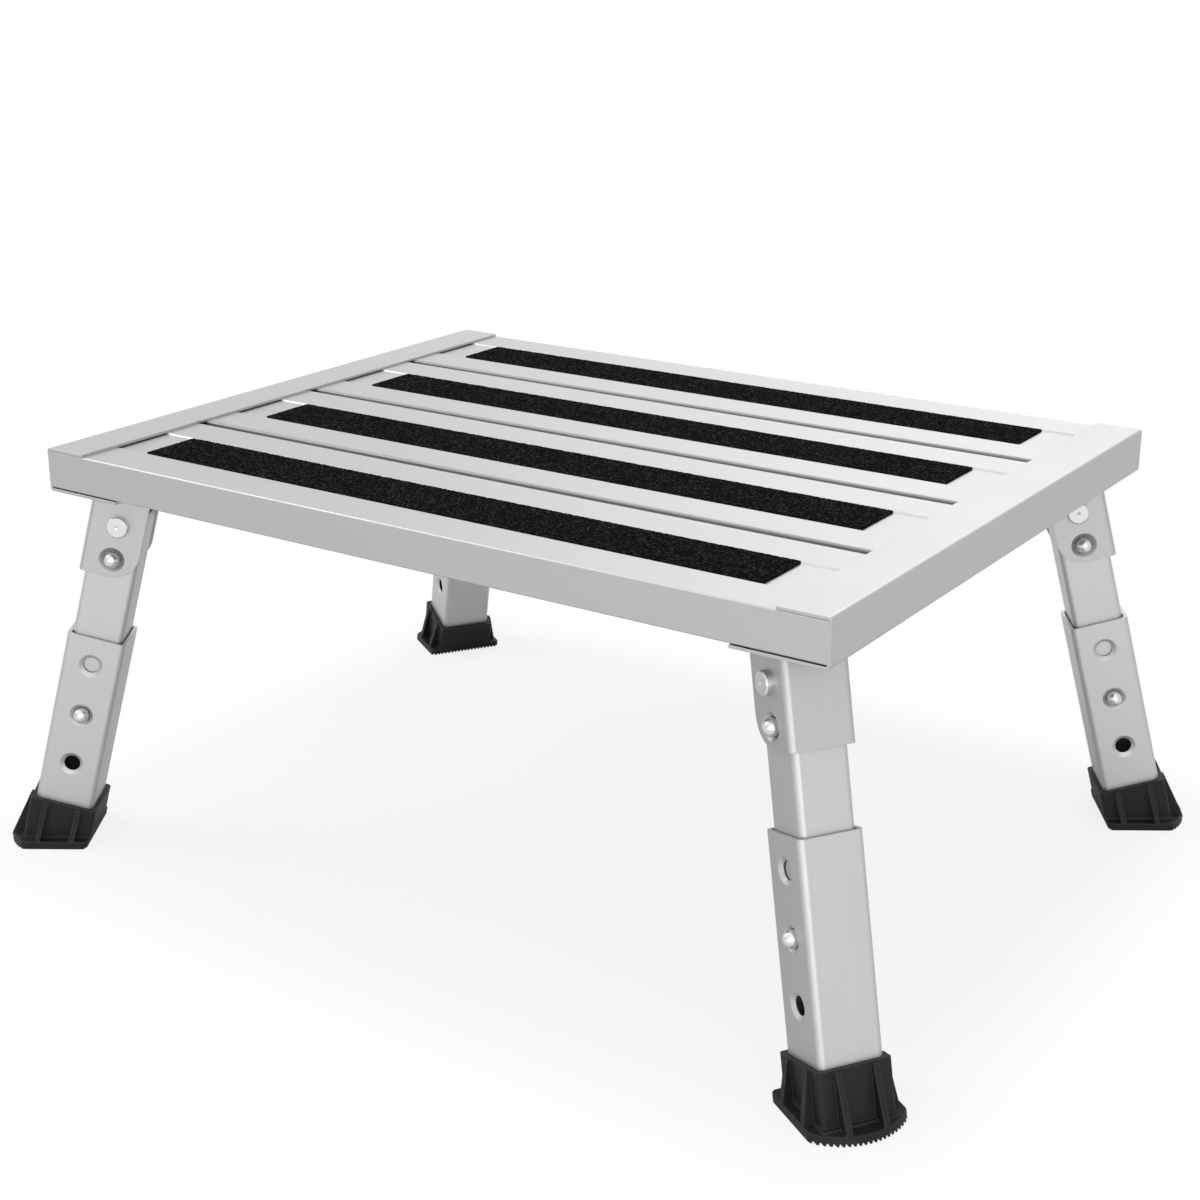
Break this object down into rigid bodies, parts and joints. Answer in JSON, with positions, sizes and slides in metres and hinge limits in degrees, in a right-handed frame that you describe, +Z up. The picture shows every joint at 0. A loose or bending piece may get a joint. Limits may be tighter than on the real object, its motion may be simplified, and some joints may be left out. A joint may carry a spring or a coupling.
{
  "type": "caravan entry step",
  "caption": "Folding entry step: a boarded aluminium deck with black grip strips on splayed telescopic legs with snap-button locks and ridged feet.",
  "frame": {"origin": "on the floor below the middle of the deck, legs unfolded at the middle height setting", "axes": "+X along the boards, +Y across them away from the side stepped up from, +Z up"},
  "size_m": [0.5726, 0.4374, 0.2349],
  "materials": {
    "board_aluminium": "satin anodised",
    "cap_aluminium": "satin anodised",
    "tube_aluminium": "satin anodised",
    "bracket_steel": "satin silver",
    "grip": "gritty",
    "boot": "matte moulded",
    "rivet_steel": "zinc plated",
    "button_steel": "polished",
    "spring_steel": "spring steel"
  },
  "bodies": {
    "deck": {"deck_board_1": "board_aluminium", "grip_strip_1": "grip", "deck_board_2": "board_aluminium", "grip_strip_2": "grip", "deck_board_3": "board_aluminium", "grip_strip_3": "grip", "deck_board_4": "board_aluminium", "grip_strip_4": "grip", "end_cap_left": "cap_aluminium", "end_cap_right": "cap_aluminium", "front_left_bracket": "bracket_steel", "front_left_pivot_rivet": "rivet_steel", "front_left_bracket_rivets": "rivet_steel", "front_right_bracket": "bracket_steel", "front_right_pivot_rivet": "rivet_steel", "front_right_bracket_rivets": "rivet_steel", "rear_left_bracket": "bracket_steel", "rear_left_pivot_rivet": "rivet_steel", "rear_left_bracket_rivets": "rivet_steel", "rear_right_bracket": "bracket_steel", "rear_right_pivot_rivet": "rivet_steel", "rear_right_bracket_rivets": "rivet_steel"},
    "front_left_upper_leg": {"front_left_inner_tube": "tube_aluminium", "front_left_fold_spring": "spring_steel", "front_left_height_spring": "spring_steel"},
    "front_left_lower_leg": {"front_left_outer_tube": "tube_aluminium", "front_left_foot": "boot"},
    "front_left_fold_snap_1": {"front_left_fold_button_1": "button_steel"},
    "front_left_fold_snap_2": {"front_left_fold_button_2": "button_steel"},
    "front_left_height_snap_1": {"front_left_height_button_1": "button_steel"},
    "front_left_height_snap_2": {"front_left_height_button_2": "button_steel"},
    "front_right_upper_leg": {"front_right_inner_tube": "tube_aluminium", "front_right_fold_spring": "spring_steel", "front_right_height_spring": "spring_steel"},
    "front_right_lower_leg": {"front_right_outer_tube": "tube_aluminium", "front_right_foot": "boot"},
    "front_right_fold_snap_1": {"front_right_fold_button_1": "button_steel"},
    "front_right_fold_snap_2": {"front_right_fold_button_2": "button_steel"},
    "front_right_height_snap_1": {"front_right_height_button_1": "button_steel"},
    "front_right_height_snap_2": {"front_right_height_button_2": "button_steel"},
    "rear_left_upper_leg": {"rear_left_inner_tube": "tube_aluminium", "rear_left_fold_spring": "spring_steel", "rear_left_height_spring": "spring_steel"},
    "rear_left_lower_leg": {"rear_left_outer_tube": "tube_aluminium", "rear_left_foot": "boot"},
    "rear_left_fold_snap_1": {"rear_left_fold_button_1": "button_steel"},
    "rear_left_fold_snap_2": {"rear_left_fold_button_2": "button_steel"},
    "rear_left_height_snap_1": {"rear_left_height_button_1": "button_steel"},
    "rear_left_height_snap_2": {"rear_left_height_button_2": "button_steel"},
    "rear_right_upper_leg": {"rear_right_inner_tube": "tube_aluminium", "rear_right_fold_spring": "spring_steel", "rear_right_height_spring": "spring_steel"},
    "rear_right_lower_leg": {"rear_right_outer_tube": "tube_aluminium", "rear_right_foot": "boot"},
    "rear_right_fold_snap_1": {"rear_right_fold_button_1": "button_steel"},
    "rear_right_fold_snap_2": {"rear_right_fold_button_2": "button_steel"},
    "rear_right_height_snap_1": {"rear_right_height_button_1": "button_steel"},
    "rear_right_height_snap_2": {"rear_right_height_button_2": "button_steel"}
  },
  "joints": [
    {"name": "front_left_fold", "type": "hinge", "parent": "deck", "child": "front_left_upper_leg", "pos_m": [-0.2135, -0.16, 0.19309], "axis": [0.5468, -0.8372, 0], "range_deg": [0, 105], "deforming": ["front_left_fold_button_1", "front_left_fold_button_2"]},
    {"name": "front_left_height", "type": "slide", "parent": "front_left_upper_leg", "child": "front_left_lower_leg", "axis": [-0.2167, -0.1415, -0.9659], "range_m": [-0.0312, 0.0312], "deforming": ["front_left_height_button_1", "front_left_height_button_2"]},
    {"name": "front_left_fold_press_1", "type": "slide", "parent": "front_left_upper_leg", "child": "front_left_fold_snap_1", "axis": [-0.5468, 0.8372, 0], "range_m": [0, 0.0073], "stiffness_N_per_m": 2500, "springref_m": -0.002, "deforming": ["front_left_fold_spring"]},
    {"name": "front_left_fold_press_2", "type": "slide", "parent": "front_left_upper_leg", "child": "front_left_fold_snap_2", "axis": [0.5468, -0.8372, 0], "range_m": [0, 0.0073], "stiffness_N_per_m": 2500, "springref_m": -0.002, "deforming": ["front_left_fold_spring"]},
    {"name": "front_left_height_press_1", "type": "slide", "parent": "front_left_upper_leg", "child": "front_left_height_snap_1", "axis": [-0.5468, 0.8372, 0], "range_m": [0, 0.0073], "stiffness_N_per_m": 2500, "springref_m": -0.002, "deforming": ["front_left_height_spring"]},
    {"name": "front_left_height_press_2", "type": "slide", "parent": "front_left_upper_leg", "child": "front_left_height_snap_2", "axis": [0.5468, -0.8372, 0], "range_m": [0, 0.0073], "stiffness_N_per_m": 2500, "springref_m": -0.002, "deforming": ["front_left_height_spring"]},
    {"name": "front_right_fold", "type": "hinge", "parent": "deck", "child": "front_right_upper_leg", "pos_m": [0.2135, -0.16, 0.19309], "axis": [0.5468, 0.8372, 0], "range_deg": [0, 105], "deforming": ["front_right_fold_button_1", "front_right_fold_button_2"]},
    {"name": "front_right_height", "type": "slide", "parent": "front_right_upper_leg", "child": "front_right_lower_leg", "axis": [0.2167, -0.1415, -0.9659], "range_m": [-0.0312, 0.0312], "deforming": ["front_right_height_button_1", "front_right_height_button_2"]},
    {"name": "front_right_fold_press_1", "type": "slide", "parent": "front_right_upper_leg", "child": "front_right_fold_snap_1", "axis": [-0.5468, -0.8372, 0], "range_m": [0, 0.0073], "stiffness_N_per_m": 2500, "springref_m": -0.002, "deforming": ["front_right_fold_spring"]},
    {"name": "front_right_fold_press_2", "type": "slide", "parent": "front_right_upper_leg", "child": "front_right_fold_snap_2", "axis": [0.5468, 0.8372, 0], "range_m": [0, 0.0073], "stiffness_N_per_m": 2500, "springref_m": -0.002, "deforming": ["front_right_fold_spring"]},
    {"name": "front_right_height_press_1", "type": "slide", "parent": "front_right_upper_leg", "child": "front_right_height_snap_1", "axis": [-0.5468, -0.8372, 0], "range_m": [0, 0.0073], "stiffness_N_per_m": 2500, "springref_m": -0.002, "deforming": ["front_right_height_spring"]},
    {"name": "front_right_height_press_2", "type": "slide", "parent": "front_right_upper_leg", "child": "front_right_height_snap_2", "axis": [0.5468, 0.8372, 0], "range_m": [0, 0.0073], "stiffness_N_per_m": 2500, "springref_m": -0.002, "deforming": ["front_right_height_spring"]},
    {"name": "rear_left_fold", "type": "hinge", "parent": "deck", "child": "rear_left_upper_leg", "pos_m": [-0.2135, 0.16, 0.19309], "axis": [-0.5468, -0.8372, 0], "range_deg": [0, 105], "deforming": ["rear_left_fold_button_1", "rear_left_fold_button_2"]},
    {"name": "rear_left_height", "type": "slide", "parent": "rear_left_upper_leg", "child": "rear_left_lower_leg", "axis": [-0.2167, 0.1415, -0.9659], "range_m": [-0.0312, 0.0312], "deforming": ["rear_left_height_button_1", "rear_left_height_button_2"]},
    {"name": "rear_left_fold_press_1", "type": "slide", "parent": "rear_left_upper_leg", "child": "rear_left_fold_snap_1", "axis": [0.5468, 0.8372, 0], "range_m": [0, 0.0073], "stiffness_N_per_m": 2500, "springref_m": -0.002, "deforming": ["rear_left_fold_spring"]},
    {"name": "rear_left_fold_press_2", "type": "slide", "parent": "rear_left_upper_leg", "child": "rear_left_fold_snap_2", "axis": [-0.5468, -0.8372, 0], "range_m": [0, 0.0073], "stiffness_N_per_m": 2500, "springref_m": -0.002, "deforming": ["rear_left_fold_spring"]},
    {"name": "rear_left_height_press_1", "type": "slide", "parent": "rear_left_upper_leg", "child": "rear_left_height_snap_1", "axis": [0.5468, 0.8372, 0], "range_m": [0, 0.0073], "stiffness_N_per_m": 2500, "springref_m": -0.002, "deforming": ["rear_left_height_spring"]},
    {"name": "rear_left_height_press_2", "type": "slide", "parent": "rear_left_upper_leg", "child": "rear_left_height_snap_2", "axis": [-0.5468, -0.8372, 0], "range_m": [0, 0.0073], "stiffness_N_per_m": 2500, "springref_m": -0.002, "deforming": ["rear_left_height_spring"]},
    {"name": "rear_right_fold", "type": "hinge", "parent": "deck", "child": "rear_right_upper_leg", "pos_m": [0.2135, 0.16, 0.19309], "axis": [-0.5468, 0.8372, 0], "range_deg": [0, 105], "deforming": ["rear_right_fold_button_1", "rear_right_fold_button_2"]},
    {"name": "rear_right_height", "type": "slide", "parent": "rear_right_upper_leg", "child": "rear_right_lower_leg", "axis": [0.2167, 0.1415, -0.9659], "range_m": [-0.0312, 0.0312], "deforming": ["rear_right_height_button_1", "rear_right_height_button_2"]},
    {"name": "rear_right_fold_press_1", "type": "slide", "parent": "rear_right_upper_leg", "child": "rear_right_fold_snap_1", "axis": [0.5468, -0.8372, 0], "range_m": [0, 0.0073], "stiffness_N_per_m": 2500, "springref_m": -0.002, "deforming": ["rear_right_fold_spring"]},
    {"name": "rear_right_fold_press_2", "type": "slide", "parent": "rear_right_upper_leg", "child": "rear_right_fold_snap_2", "axis": [-0.5468, 0.8372, 0], "range_m": [0, 0.0073], "stiffness_N_per_m": 2500, "springref_m": -0.002, "deforming": ["rear_right_fold_spring"]},
    {"name": "rear_right_height_press_1", "type": "slide", "parent": "rear_right_upper_leg", "child": "rear_right_height_snap_1", "axis": [0.5468, -0.8372, 0], "range_m": [0, 0.0073], "stiffness_N_per_m": 2500, "springref_m": -0.002, "deforming": ["rear_right_height_spring"]},
    {"name": "rear_right_height_press_2", "type": "slide", "parent": "rear_right_upper_leg", "child": "rear_right_height_snap_2", "axis": [-0.5468, 0.8372, 0], "range_m": [0, 0.0073], "stiffness_N_per_m": 2500, "springref_m": -0.002, "deforming": ["rear_right_height_spring"]}
  ]
}
